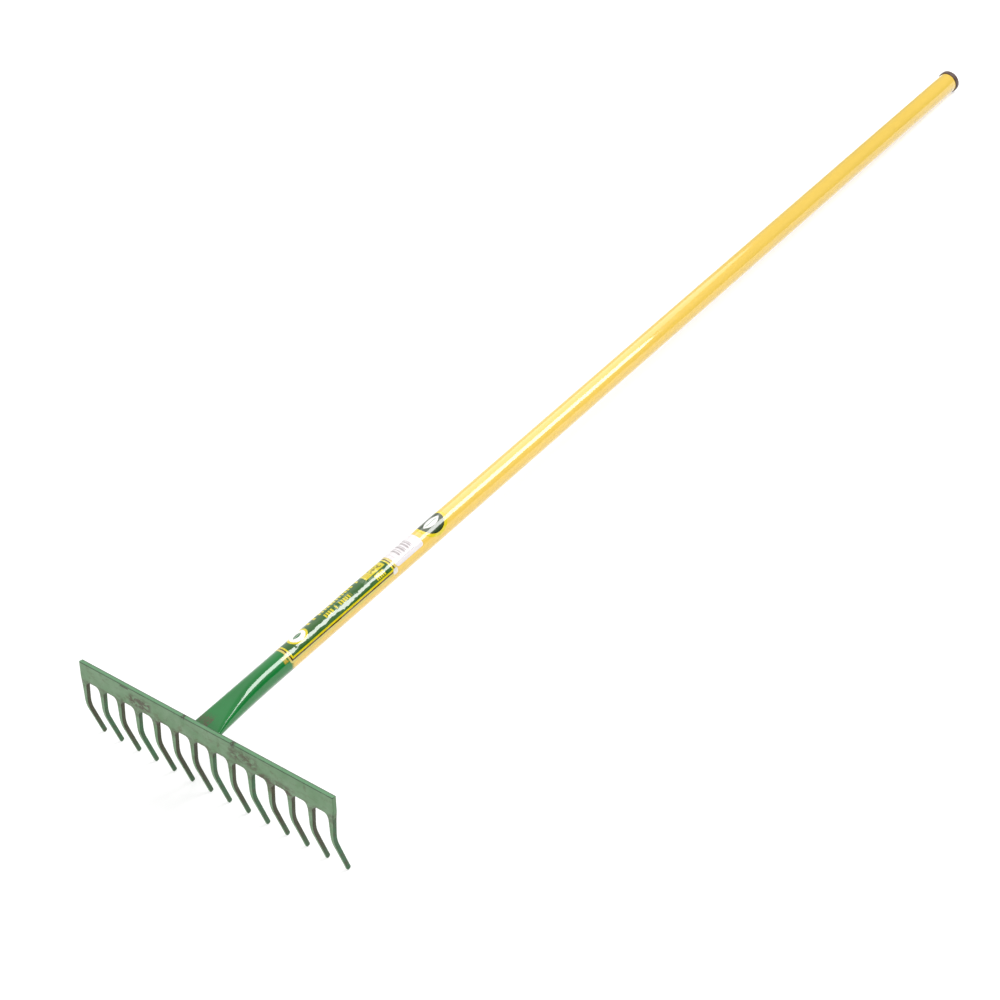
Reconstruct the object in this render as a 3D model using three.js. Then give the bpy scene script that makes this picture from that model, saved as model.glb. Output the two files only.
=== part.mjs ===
// Level-head garden rake: one pressed steel comb with fourteen teeth, welded to the
// flattened end of a straight steel tube handle, with a plastic plug in the far end.
// Millimetres. +X runs along the head, +Y from the head to the far end of the handle,
// +Z up. The rake stands as it is laid down: on its tooth tips and on its end plug.
import * as THREE from 'three';

// Handle tube
const TUBE_RADIUS = 14;
const TUBE_WALL = 1.2;
const TUBE_LENGTH = 1469;         // from the head plane to the open far end
const FLAT_THICKNESS = 6.4;       // height of the flattened head end
const FLAT_CENTRE_DROP = 1.5;     // how far its middle lies below the tube's axis
const FLAT_START = 8;             // fully flattened up to here
const FLAT_END = 100;             // round from here on
const FLAT_POWER = 2;             // how quickly the height falls between the two
const TUBE_SIDES = 32;

// Comb
const TOOTH_COUNT = 14;
const TOOTH_PITCH = 30.27;
const BAR_END_MARGIN = 4.95;      // from the middle of an end tooth to the bar's end
const BAR_DEPTH = 23.8;           // from the levelling edge to the top of each gap
const PLATE_THICKNESS = 5.4;
const COMB_LENGTH = 105;          // levelling edge to tooth tip, along the plate
const TOOTH_ROOT_WIDTH = 8.2;
const TOOTH_TIP_WIDTH = 2.8;
const TOOTH_TAPER_POWER = 2.4;
const GAP_CORNER_RADIUS = 6.5;
const EDGE_HEIGHT = 9.9;          // levelling edge above the tube's axis
const UPPER_LEAN = THREE.MathUtils.degToRad(14.5);
const LOWER_LEAN = THREE.MathUtils.degToRad(-7);
const BEND_START = 46.6;          // where the teeth begin to curve, down the plate
const BEND_LENGTH = 18;
const TIP_ZONE = 2.6;             // length over which a tooth tip is rounded off

// Weld beads, end plug and labels
const WELD_WIDTH = 33;
const PLUG_RADIUS = 15.2;
const PLUG_RIM = 5;
const PLUG_DOME = 4.2;
const PLUG_STEM = 24;
const FILM_GAP = 0.3;
const FILM_THICKNESS = 0.25;
const LABEL_WIDTH = 41.6;
const LABEL_START = 124.1;
const LABEL_END = 298.6;
const STICKER_WIDTH = 34.8;
const STICKER_START = 299.2;
const STICKER_END = 345;
const BADGE_CENTRE = 370;
const BADGE_RADIUS = 20.8;
const GAP = 0.3;

const paint = {
  headGreen: new THREE.MeshStandardMaterial({ color: 0x7f9c7c, roughness: 0.55, metalness: 0.1 }),
  handleYellow: new THREE.MeshStandardMaterial({ color: 0xf0c85a, roughness: 0.35, metalness: 0.1 }),
  weldGreen: new THREE.MeshStandardMaterial({ color: 0x4f8a58, roughness: 0.5, metalness: 0.2 }),
  plugBrown: new THREE.MeshStandardMaterial({ color: 0x4a3a3a, roughness: 0.6, metalness: 0 }),
  filmGreen: new THREE.MeshStandardMaterial({ color: 0x2c6e36, roughness: 0.3, metalness: 0 }),
  paperWhite: new THREE.MeshStandardMaterial({ color: 0xf4f2ec, roughness: 0.6, metalness: 0 }),
  badgeGreen: new THREE.MeshStandardMaterial({ color: 0x3d4a2a, roughness: 0.4, metalness: 0 }),
};

function named(name, geometry, material) {
  const mesh = new THREE.Mesh(geometry, material);
  mesh.name = name;
  return mesh;
}

// Moves every vertex of a geometry through a mapping of its x, y, z.
function reshape(geometry, mapping) {
  const position = geometry.getAttribute('position');
  for (let i = 0; i < position.count; i += 1) {
    const p = mapping(position.getX(i), position.getY(i), position.getZ(i));
    position.setXYZ(i, p.x, p.y, p.z);
  }
  position.needsUpdate = true;
  geometry.computeVertexNormals();
  return geometry;
}

// ---- Comb ----

function toothCentre(index) {
  return (index - (TOOTH_COUNT - 1) / 2) * TOOTH_PITCH;
}

// Half the width of a tooth at a distance down the plate.
function toothHalfWidth(down) {
  const length = COMB_LENGTH - BAR_DEPTH;
  const t = Math.min(1, Math.max(0, (down - BAR_DEPTH) / length));
  const extra = (TOOTH_ROOT_WIDTH - TOOTH_TIP_WIDTH) * (1 - t) ** TOOTH_TAPER_POWER;
  return (TOOTH_TIP_WIDTH + extra) / 2;
}

// Distances down the plate at which a tooth's edge is drawn, from its root to its tip.
function toothStations(first) {
  const stations = [first];
  for (let down = 36; down < BEND_START; down += 6) stations.push(down);
  for (let i = 0; i <= 5; i += 1) stations.push(BEND_START + (BEND_LENGTH * i) / 5);
  stations.push(82);
  stations.push(COMB_LENGTH - TIP_ZONE);
  stations.push(COMB_LENGTH - 1.2);
  return stations;
}

// One edge of a tooth as [x, distance down], root first.
function toothEdge(centre, side, first) {
  return toothStations(first).map((down) => {
    const nearTip = Math.max(0, (down - (COMB_LENGTH - TIP_ZONE)) / TIP_ZONE);
    const half = toothHalfWidth(down) * Math.sqrt(1 - 0.6 * nearTip * nearTip);
    return [centre + side * half, down];
  });
}

// The rounded top of the gap between two teeth, left to right, as [x, distance down].
function gapTop(leftCentre, rightCentre) {
  const radius = GAP_CORNER_RADIUS;
  const half = toothHalfWidth(BAR_DEPTH + radius);
  const left = leftCentre + half + radius;
  const right = rightCentre - half - radius;
  const points = [];
  for (let i = 1; i <= 5; i += 1) {
    const a = (Math.PI / 2) * (i / 5);
    points.push([left - radius * Math.cos(a), BAR_DEPTH + radius - radius * Math.sin(a)]);
  }
  for (let i = 0; i < 5; i += 1) {
    const a = (Math.PI / 2) * (1 - i / 5);
    points.push([right + radius * Math.cos(a), BAR_DEPTH + radius - radius * Math.sin(a)]);
  }
  return points;
}

// The flat outline of the whole comb: the levelling edge, then tooth after tooth.
function combOutline() {
  const end = toothCentre(TOOTH_COUNT - 1) + BAR_END_MARGIN;
  const rootOfEdge = BAR_DEPTH + GAP_CORNER_RADIUS;
  const points = [[end, 0], [-end, 0], [-end, BAR_DEPTH * 0.72]];
  for (let i = 0; i < TOOTH_COUNT; i += 1) {
    const centre = toothCentre(i);
    points.push(...toothEdge(centre, -1, rootOfEdge));
    points.push([centre, COMB_LENGTH]);
    points.push(...toothEdge(centre, 1, rootOfEdge).reverse());
    if (i < TOOTH_COUNT - 1) points.push(...gapTop(centre, toothCentre(i + 1)));
  }
  points.push([end, BAR_DEPTH * 0.72]);
  return points;
}

// Where the front face of the plate lies at a distance down from the levelling edge.
function plateFront(down) {
  const straight = Math.min(down, BEND_START);
  let y = -straight * Math.sin(UPPER_LEAN);
  let z = EDGE_HEIGHT - straight * Math.cos(UPPER_LEAN);
  let lean = UPPER_LEAN;
  if (down > BEND_START) {
    const turn = Math.min(down - BEND_START, BEND_LENGTH);
    const rate = (LOWER_LEAN - UPPER_LEAN) / BEND_LENGTH;
    lean = UPPER_LEAN + rate * turn;
    y += (Math.cos(lean) - Math.cos(UPPER_LEAN)) / rate;
    z -= (Math.sin(lean) - Math.sin(UPPER_LEAN)) / rate;
  }
  const rest = Math.max(0, down - BEND_START - BEND_LENGTH);
  y -= rest * Math.sin(lean);
  z -= rest * Math.cos(lean);
  return { y, z, lean };
}

// Bends the flat plate to its side profile and thins the tooth tips to a round end.
function bendPlate(x, negativeDown, ahead) {
  const down = -negativeDown;
  const behind = PLATE_THICKNESS - ahead;
  const front = plateFront(down);
  const nearTip = THREE.MathUtils.clamp((down - COMB_LENGTH + TIP_ZONE) / TIP_ZONE, 0, 1);
  const thinning = Math.sqrt(1 - 0.8 * nearTip * nearTip);
  const depth = PLATE_THICKNESS / 2 + (behind - PLATE_THICKNESS / 2) * thinning;
  return {
    x,
    y: front.y + depth * Math.cos(front.lean),
    z: front.z - depth * Math.sin(front.lean),
  };
}

function rakeHead() {
  const shape = new THREE.Shape(combOutline().map(([x, down]) => new THREE.Vector2(x, -down)));
  const plate = new THREE.ExtrudeGeometry(shape, {
    depth: PLATE_THICKNESS,
    bevelEnabled: false,
    steps: 1,
  });
  return named('rake_head', reshape(plate, bendPlate), paint.headGreen);
}

// ---- Handle tube ----

// 1 where the tube is fully flattened, 0 where it is round.
function flatness(y) {
  const t = (FLAT_END - y) / (FLAT_END - FLAT_START);
  return THREE.MathUtils.clamp(t, 0, 1) ** FLAT_POWER;
}

// The point of a flattened ring at an angle from its top, for a ring radius and height
// that keep the tube's own circumference.
function flattenedPoint(angle, radius, height) {
  const halfFlat = (2 * Math.PI * radius - Math.PI * height) / 4;
  const side = angle < 0 ? -1 : 1;
  const along = Math.abs(angle) * radius;
  const arcLength = (Math.PI * height) / 2;
  if (along <= halfFlat) return { x: side * along, z: height / 2 };
  if (along < halfFlat + arcLength) {
    const a = (along - halfFlat) / (height / 2);
    return {
      x: side * (halfFlat + (height / 2) * Math.sin(a)),
      z: (height / 2) * Math.cos(a),
    };
  }
  return { x: side * (2 * halfFlat + arcLength - along), z: -height / 2 };
}

// The back face of the bar leans, and the flattened end is cut to meet it.
function barBackAt(z) {
  const top = bendPlate(0, 0, 0);
  return top.y + (z - top.z) * Math.tan(UPPER_LEAN);
}

function flattenTube(x, y, z) {
  const k = flatness(y);
  if (k === 0) return { x, y, z };
  const radius = Math.hypot(x, z);
  const outerHeight = THREE.MathUtils.lerp(2 * TUBE_RADIUS, FLAT_THICKNESS, k);
  const innerInset = TUBE_RADIUS - radius;
  const flat = flattenedPoint(Math.atan2(x, z), radius, outerHeight - 2 * innerInset);
  const height = flat.z - FLAT_CENTRE_DROP * k;
  const nearEnd = 1 - THREE.MathUtils.smoothstep(y, 0, FLAT_START);
  return { x: flat.x, y: y + nearEnd * (barBackAt(height) + GAP), z: height };
}

function handleTube() {
  const stations = [0, FLAT_START];
  for (let i = 1; i <= 10; i += 1) {
    stations.push(FLAT_START + ((FLAT_END - FLAT_START) * i) / 10);
  }
  stations.push(TUBE_LENGTH);
  const inner = TUBE_RADIUS - TUBE_WALL;
  const profile = stations.map((y) => new THREE.Vector2(TUBE_RADIUS, y));
  profile.push(...stations.map((y) => new THREE.Vector2(inner, y)).reverse());
  profile.push(profile[0].clone());
  const tube = new THREE.LatheGeometry(profile, TUBE_SIDES);
  return named('handle_tube', reshape(tube, flattenTube), paint.handleYellow);
}

// ---- Weld beads ----

// A bead along X whose section is given in the Y-Z plane.
function weldBead(name, section) {
  const shape = new THREE.Shape(section.map(([y, z]) => new THREE.Vector2(-z, y)));
  const bead = new THREE.ExtrudeGeometry(shape, {
    depth: WELD_WIDTH,
    bevelEnabled: false,
    steps: 1,
  });
  bead.rotateY(Math.PI / 2);
  bead.translate(-WELD_WIDTH / 2, 0, 0);
  return named(name, bead, paint.weldGreen);
}

function weldTop() {
  const corner = FLAT_THICKNESS / 2 - FLAT_CENTRE_DROP + GAP + 0.05;
  const reach = corner + 3.6;
  const inside = GAP + 0.05;
  return weldBead('weld_top', [
    [barBackAt(corner) + inside, corner],
    [barBackAt(corner) + 3.9, corner + 0.5],
    [barBackAt(corner) + 3.0, corner + 2.2],
    [barBackAt(reach) + 1.5, reach - 0.2],
    [barBackAt(reach) + inside, reach],
  ]);
}

function weldBottom() {
  const corner = -FLAT_THICKNESS / 2 - FLAT_CENTRE_DROP - GAP - 0.05;
  const reach = corner - 4;
  const inside = GAP + 0.05;
  return weldBead('weld_bottom', [
    [barBackAt(reach) + inside, reach],
    [barBackAt(reach) + 1.6, reach + 0.3],
    [barBackAt(corner) + 3.2, corner - 2.2],
    [barBackAt(corner) + 3.9, corner - 0.5],
    [barBackAt(corner) + inside, corner],
  ]);
}

// ---- End plug ----

function endPlug() {
  const start = TUBE_LENGTH + GAP;
  const stem = TUBE_RADIUS - TUBE_WALL - GAP;
  const profile = [
    new THREE.Vector2(0, start - PLUG_STEM),
    new THREE.Vector2(stem - 1.5, start - PLUG_STEM),
    new THREE.Vector2(stem, start - PLUG_STEM + 3),
    new THREE.Vector2(stem, start),
    new THREE.Vector2(PLUG_RADIUS - 0.3, start),
    new THREE.Vector2(PLUG_RADIUS, start + 0.4),
    new THREE.Vector2(PLUG_RADIUS, start + PLUG_RIM),
  ];
  for (let i = 1; i < 5; i += 1) {
    const a = (Math.PI / 2) * (i / 5);
    const x = PLUG_RADIUS * Math.cos(a) ** 0.6;
    profile.push(new THREE.Vector2(x, start + PLUG_RIM + PLUG_DOME * Math.sin(a)));
  }
  profile.push(new THREE.Vector2(0, start + PLUG_RIM + PLUG_DOME));
  return named('end_plug', new THREE.LatheGeometry(profile, TUBE_SIDES), paint.plugBrown);
}

// ---- Labels on the top of the tube ----

// Wraps a flat sheet (x across, y along, z out) round the top of the tube.
function wrapOnTube(geometry) {
  return reshape(geometry, (x, y, z) => {
    const angle = x / TUBE_RADIUS;
    const radius = TUBE_RADIUS + FILM_GAP + FILM_THICKNESS / 2 + z;
    return { x: radius * Math.sin(angle), y, z: radius * Math.cos(angle) };
  });
}

function wrappedSheet(name, width, yStart, yEnd, material) {
  const sheet = new THREE.BoxGeometry(width, yEnd - yStart, FILM_THICKNESS, 14, 1, 1);
  sheet.translate(0, (yStart + yEnd) / 2, 0);
  return named(name, wrapOnTube(sheet), material);
}

function productLabel() {
  return wrappedSheet('product_label', LABEL_WIDTH, LABEL_START, LABEL_END, paint.filmGreen);
}

function barcodeLabel() {
  const width = STICKER_WIDTH;
  return wrappedSheet('barcode_label', width, STICKER_START, STICKER_END, paint.paperWhite);
}

function roundBadge() {
  const disc = new THREE.BoxGeometry(2, 2, FILM_THICKNESS, 12, 12, 1);
  reshape(disc, (u, v, z) => ({
    x: BADGE_RADIUS * u * Math.sqrt(1 - (v * v) / 2),
    y: BADGE_CENTRE + BADGE_RADIUS * v * Math.sqrt(1 - (u * u) / 2),
    z,
  }));
  return named('round_badge', wrapOnTube(disc), paint.badgeGreen);
}

// ---- Assembly ----

const rake = new THREE.Group();
rake.add(rakeHead());
rake.add(handleTube());
rake.add(weldTop());
rake.add(weldBottom());
rake.add(endPlug());
rake.add(productLabel());
rake.add(barcodeLabel());
rake.add(roundBadge());

// Tipped until the tooth tips and the rim of the end plug share one floor.
const tip = bendPlate(0, -COMB_LENGTH, PLATE_THICKNESS / 2);
const rimY = TUBE_LENGTH + GAP + PLUG_RIM;
const restAngle = Math.atan2(-PLUG_RADIUS - tip.z, rimY - tip.y);
rake.rotation.x = -restAngle;

const group = new THREE.Group();
group.add(rake);
group.updateMatrixWorld(true);
const box = new THREE.Box3().setFromObject(group, true);
const centre = box.getCenter(new THREE.Vector3());
rake.position.set(-centre.x, -centre.y, -box.min.z);
group.updateMatrixWorld(true);

export default group;
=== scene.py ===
import math

import bpy
from mathutils import Matrix, Vector, noise


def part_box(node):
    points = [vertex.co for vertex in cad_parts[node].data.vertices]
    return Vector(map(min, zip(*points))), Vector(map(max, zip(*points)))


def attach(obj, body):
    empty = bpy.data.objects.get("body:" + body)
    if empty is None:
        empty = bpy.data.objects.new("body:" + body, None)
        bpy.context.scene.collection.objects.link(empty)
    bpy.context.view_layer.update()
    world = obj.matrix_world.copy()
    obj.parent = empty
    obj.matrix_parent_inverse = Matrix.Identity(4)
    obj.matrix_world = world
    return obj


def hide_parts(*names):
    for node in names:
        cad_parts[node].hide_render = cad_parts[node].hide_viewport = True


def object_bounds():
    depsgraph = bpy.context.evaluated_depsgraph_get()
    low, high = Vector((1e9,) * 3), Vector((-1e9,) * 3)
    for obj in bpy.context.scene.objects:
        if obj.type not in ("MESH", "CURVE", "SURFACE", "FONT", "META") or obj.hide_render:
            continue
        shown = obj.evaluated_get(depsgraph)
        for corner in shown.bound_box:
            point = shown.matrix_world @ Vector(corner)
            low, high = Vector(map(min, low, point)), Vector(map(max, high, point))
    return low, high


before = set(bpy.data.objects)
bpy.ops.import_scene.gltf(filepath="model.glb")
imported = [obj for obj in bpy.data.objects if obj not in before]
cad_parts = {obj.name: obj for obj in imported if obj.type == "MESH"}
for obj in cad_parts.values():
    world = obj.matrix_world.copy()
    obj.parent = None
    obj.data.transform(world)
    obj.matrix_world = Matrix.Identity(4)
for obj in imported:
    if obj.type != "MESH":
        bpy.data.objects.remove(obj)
cad_lo, cad_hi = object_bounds()

# ---------------------------------------------------------------- rake dimensions, metres
TUBE_R = 0.014
TUBE_WALL = 0.0012
TUBE_LENGTH = 1.469
FLAT_THICKNESS = 0.0064                # of the tube's flattened head end
FLAT_DROP = 0.0015                     # its middle lies this far below the tube's axis
FLAT_START = 0.008                     # flat up to here, along the tube
FLAT_END = 0.100                       # and round from here on
FLAT_POWER = 2.0                       # above 1, most of the change is near the flat end
TEETH = 14
PITCH = 0.03027
BAR_MARGIN = 0.00495                   # from the last tooth's centre to the bar's end
BAR_DEPTH = 0.0238
BAR_END_DEPTH = BAR_DEPTH * 0.72       # the bar's lower corners are cut off
PLATE = 0.0054
COMB_LENGTH = 0.105                    # down the plate, from levelling edge to tooth tips
ROOT_WIDTH = 0.0082
TIP_WIDTH = 0.0028
TAPER_POWER = 2.4                      # above 1, a tooth narrows fastest near its root
GAP_RADIUS = 0.0065                    # upper corners of the gaps between teeth
EDGE_HEIGHT = 0.0099                   # of the levelling edge above the tube's axis
UPPER_LEAN = math.radians(14.5)        # bar and upper teeth, from the upright
LOWER_LEAN = math.radians(-7)          # lower teeth, the other way
BEND_START = 0.0466
BEND_LENGTH = 0.018
TIP_ZONE = 0.0026                      # the rounded end of a tooth
TIP_THINNING = 0.8                     # how strongly it is rounded through the plate
TIP_NARROWING = 0.6                    # and across the tooth
BAR_ROWS = 6
GAP_CORNER_STEPS = 8
GAP_TOP_STEPS = 4
TOOTH_LINES = (-1, -0.34, 0.34, 1)     # four lines of points across each tooth
EDGE_ROUNDING = 0.00085
PLUG_R = 0.0152
PLUG_RIM = 0.005                       # length of the plug's straight rim
PLUG_DOME = 0.0042                     # height of the dome on it
PLUG_DOME_POWER = 0.6                  # below 1, the dome is flatter in the middle
PLUG_STEM = 0.0235                     # length inside the tube
PLUG_STEM_TAPER = 0.003                # length of the taper at the stem's end
WELD_HALF = 0.0163                     # half a bead's length
WELD_UP, WELD_OUT = 0.0031, 0.0038     # a bead's size up the bar's back and along the tube
WELD_RIPPLE = 0.0021                   # spacing of the ripples along a bead
GAP = 0.0003                           # kept between neighbouring pieces
FILM_LIFT = 0.00004                    # from the tube to the underside of a film
LABEL_HALF, LABEL_Y0, LABEL_Y1, LABEL_CORNER = 0.0206, 0.1244, 0.2982, 0.004
STICKER_HALF, STICKER_Y0, STICKER_Y1, STICKER_CORNER = 0.0161, 0.2987, 0.3436, 0.0035
BADGE_Y, BADGE_R = 0.3704, 0.0205


def lerp(a, b, k):
    return a + (b - a) * k


def smooth(x, a, b):
    t = min(1.0, max(0.0, (x - a) / (b - a)))
    return t * t * (3 - 2 * t)


def plate_front(down):
    """y, z and lean of the plate's front face, a distance down from the levelling edge."""
    straight = min(down, BEND_START)
    y = -straight * math.sin(UPPER_LEAN)
    z = EDGE_HEIGHT - straight * math.cos(UPPER_LEAN)
    lean = UPPER_LEAN
    if down > BEND_START:
        turn = min(down - BEND_START, BEND_LENGTH)
        rate = (LOWER_LEAN - UPPER_LEAN) / BEND_LENGTH
        lean = UPPER_LEAN + rate * turn
        y += (math.cos(lean) - math.cos(UPPER_LEAN)) / rate
        z -= (math.sin(lean) - math.sin(UPPER_LEAN)) / rate
    rest = max(0.0, down - BEND_START - BEND_LENGTH)
    return y - rest * math.sin(lean), z - rest * math.cos(lean), lean


def bend_plate(x, down, behind):
    """A point of the flat plate, moved to where the bent plate has it."""
    y, z, lean = plate_front(down)
    near = min(1.0, max(0.0, (down - (COMB_LENGTH - TIP_ZONE)) / TIP_ZONE))
    thin = math.sqrt(1 - TIP_THINNING * near * near)
    depth = PLATE / 2 + (behind - PLATE / 2) * thin
    return Vector((x, y + depth * math.cos(lean), z - depth * math.sin(lean)))


# The rake is described with its tube along +Y, then tipped onto its teeth and its plug.
tip_point = bend_plate(0, COMB_LENGTH, PLATE / 2)
TILT = math.atan2(-PLUG_R - tip_point.z, TUBE_LENGTH + GAP + PLUG_RIM - tip_point.y)
tip_over = Matrix.Rotation(-TILT, 4, "X")
_, head_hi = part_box("rake_head")
top_corner = tip_over @ Vector((0, 0, EDGE_HEIGHT))
_, plug_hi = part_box("end_plug")
DOME_STEPS = 5                         # steps of the CAD plug's dome
plug_edge = max(
    (tip_over @ Vector((0, TUBE_LENGTH + GAP + PLUG_RIM + PLUG_DOME * math.sin(a),
                        PLUG_R * max(0.0, math.cos(a)) ** PLUG_DOME_POWER))).y
    for a in [math.pi / 2 * i / DOME_STEPS for i in range(DOME_STEPS + 1)]
)
PLACE = Matrix.Translation((0, plug_hi[1] - plug_edge, head_hi[2] - top_corner.z)) @ tip_over

# ---------------------------------------------------------------- camera
CAMERA_DISTANCE = 2.6043
CAMERA_LENS = 77.953
aim = Vector((-0.0309, cad_lo[1] + 0.5185, 0.0))
azimuth, elevation, roll = math.radians(51.142), math.radians(39.494), math.radians(-16.673)
back = Vector((
    math.sin(azimuth) * math.cos(elevation),
    -math.cos(azimuth) * math.cos(elevation),
    math.sin(elevation),
))
cam = bpy.data.cameras.new("camera")
cam_obj = bpy.data.objects.new("camera", cam)
bpy.context.scene.collection.objects.link(cam_obj)
cam.sensor_width = 36
cam.lens = CAMERA_LENS
cam.clip_end = 50
cam_obj.location = aim + back * CAMERA_DISTANCE
level = (-back).to_track_quat("-Z", "Y").to_matrix().to_4x4()
turn = level @ Matrix.Rotation(roll, 4, "Z")
cam_obj.matrix_world = Matrix.Translation(cam_obj.location) @ turn
bpy.context.scene.camera = cam_obj


# ---------------------------------------------------------------- mesh helpers
def make(name, verts, faces, node, slot):
    """A smooth-shaded piece that rides on the rake and replaces one CAD node."""
    mesh = bpy.data.meshes.new(name)
    mesh.from_pydata([PLACE @ Vector(v) for v in verts], [], faces)
    mesh.validate()
    mesh.update()
    obj = bpy.data.objects.new(name, mesh)
    bpy.context.scene.collection.objects.link(obj)
    for polygon in mesh.polygons:
        polygon.use_smooth = True
    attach(obj, "root")
    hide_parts(node)
    return obj


def sharpen(obj, degrees):
    """Marks the edges that turn by more than this angle as sharp."""
    mesh = obj.data
    limit = math.cos(math.radians(degrees))
    normals = [p.normal.copy() for p in mesh.polygons]
    users = {}
    for p in mesh.polygons:
        for key in p.edge_keys:
            users.setdefault(key, []).append(p.index)
    for edge in mesh.edges:
        pair = users.get(edge.key, [])
        if len(pair) == 2 and normals[pair[0]].dot(normals[pair[1]]) < limit:
            edge.use_edge_sharp = True


def loft(rings, closed_ends=True):
    """Faces between rings of equal length, each ring closed on itself."""
    n = len(rings[0])
    verts = [v for ring in rings for v in ring]
    faces = []
    for i in range(len(rings) - 1):
        for j in range(n):
            a, b = i * n + j, i * n + (j + 1) % n
            faces.append((a, b, b + n, a + n))
    if closed_ends:
        faces.append(tuple(reversed(range(n))))
        faces.append(tuple(range((len(rings) - 1) * n, len(rings) * n)))
    return verts, faces


# ---------------------------------------------------------------- comb
def tooth_centre(i):
    return (i - (TEETH - 1) / 2) * PITCH


def tooth_half(down):
    """Half width of a tooth, a distance down from the levelling edge, before rounding."""
    t = min(1.0, max(0.0, (down - BAR_DEPTH) / (COMB_LENGTH - BAR_DEPTH)))
    return (TIP_WIDTH + (ROOT_WIDTH - TIP_WIDTH) * (1 - t) ** TAPER_POWER) / 2


def tip_half(down):
    """Half width of a tooth, rounded off at its tip."""
    near = max(0.0, (down - (COMB_LENGTH - TIP_ZONE)) / TIP_ZONE)
    return tooth_half(down) * math.sqrt(max(0.0, 1 - TIP_NARROWING * near * near))


def lower_edge():
    """The bar's lower edge as (x, distance down), and the column where each tooth begins."""
    root = BAR_DEPTH + GAP_RADIUS
    end = tooth_centre(TEETH - 1) + BAR_MARGIN
    half = tooth_half(root)
    quarter = [math.pi / 2 * k / GAP_CORNER_STEPS for k in range(1, GAP_CORNER_STEPS)]
    columns = [(-end, BAR_END_DEPTH)]
    tooth_columns = []
    for i in range(TEETH):
        tooth_columns.append(len(columns))
        columns += [(tooth_centre(i) + half * k, root) for k in TOOTH_LINES]
        if i == TEETH - 1:
            continue
        left = tooth_centre(i) + half + GAP_RADIUS
        right = tooth_centre(i + 1) - half - GAP_RADIUS
        for a in quarter:
            columns.append((left - GAP_RADIUS * math.cos(a), root - GAP_RADIUS * math.sin(a)))
        for k in range(GAP_TOP_STEPS + 1):
            columns.append((lerp(left, right, k / GAP_TOP_STEPS), BAR_DEPTH))
        for a in reversed(quarter):
            columns.append((right + GAP_RADIUS * math.cos(a), root - GAP_RADIUS * math.sin(a)))
    columns.append((end, BAR_END_DEPTH))
    return columns, tooth_columns


def tooth_stations():
    """Distances down a tooth at which it has a row of points, closest at the bend and tip."""
    bend = [BEND_START + BEND_LENGTH * k / 9 for k in range(10)]
    tip = [COMB_LENGTH - TIP_ZONE * k for k in (1, 0.72, 0.46, 0.24, 0.08)]
    return [0.0335, 0.037, 0.0415, *bend, 0.072, 0.081, 0.090, 0.098, *tip]


def thicken(points, quads):
    """Front and back of the plate, and the edge that joins them all the way round."""
    count = len(points)
    verts = [bend_plate(x, d, side) for side in (0, PLATE) for x, d in points]
    faces = list(quads) + [tuple(v + count for v in reversed(q)) for q in quads]
    directed = dict.fromkeys((q[k], q[(k + 1) % 4]) for q in quads for k in range(4))
    for a, b in directed:
        if (b, a) not in directed:
            faces.append((b, a, a + count, b + count))
    return verts, faces


def comb():
    """Bar and teeth as one sheet of quads, thickened into the bent plate."""
    columns, tooth_columns = lower_edge()
    points, index, quads = [], {}, []

    def point(key, x, down):
        if key not in index:
            index[key] = len(points)
            points.append((x, down))
        return index[key]

    for c in range(len(columns) - 1):
        for r in range(BAR_ROWS):
            corner = []
            for cc, rr in ((c, r), (c, r + 1), (c + 1, r + 1), (c + 1, r)):
                x, bottom = columns[cc]
                corner.append(point(("bar", cc, rr), x, bottom * rr / BAR_ROWS))
            quads.append(tuple(corner))
    for i, first in enumerate(tooth_columns):
        before = [index[("bar", first + k, BAR_ROWS)] for k in range(4)]
        for s, down in enumerate(tooth_stations()):
            now = [
                point(("tooth", i, s, k), tooth_centre(i) + share * tip_half(down), down)
                for k, share in enumerate(TOOTH_LINES)
            ]
            for k in range(3):
                quads.append((before[k], now[k], now[k + 1], before[k + 1]))
            before = now
    obj = make("comb", *thicken(points, quads), "rake_head", "head_green")
    bevel = obj.modifiers.new("rounded_edges", "BEVEL")
    bevel.width = EDGE_ROUNDING
    bevel.segments = 3
    bevel.limit_method = "ANGLE"
    bevel.angle_limit = math.radians(48)
    bevel.use_clamp_overlap = False
    bevel.harden_normals = True
    return obj


# ---------------------------------------------------------------- handle tube
def flatness(y):
    """1 where the tube is pressed flat, falling to 0 where it is round."""
    t = (FLAT_END - y) / (FLAT_END - FLAT_START)
    return min(1.0, max(0.0, t)) ** FLAT_POWER


def flattened(angle, radius, height):
    """A point of the round tube, moved to a slot-shaped section of the same girth."""
    half_flat = (2 * math.pi * radius - math.pi * height) / 4
    side = -1 if angle < 0 else 1
    along = abs(angle) * radius
    arc = math.pi * height / 2
    if along <= half_flat:
        return side * along, height / 2
    if along < half_flat + arc:
        a = (along - half_flat) / (height / 2)
        return side * (half_flat + height / 2 * math.sin(a)), height / 2 * math.cos(a)
    return side * (2 * half_flat + arc - along), -height / 2


def bar_back(z):
    """y of the bar's back face at a height."""
    top = bend_plate(0, 0, PLATE)
    return top.y + (z - top.z) * math.tan(UPPER_LEAN)


def tube_point(angle, y, radius):
    x, z = radius * math.sin(angle), radius * math.cos(angle)
    k = flatness(y)
    if k == 0:
        return (x, y, z)
    outer = lerp(2 * TUBE_R, FLAT_THICKNESS, k)
    fx, fz = flattened(angle, radius, outer - 2 * (TUBE_R - radius))
    height = fz - FLAT_DROP * k
    near_end = 1 - smooth(y, 0, FLAT_START)
    return (fx, y + near_end * (bar_back(height) + GAP), height)


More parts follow.
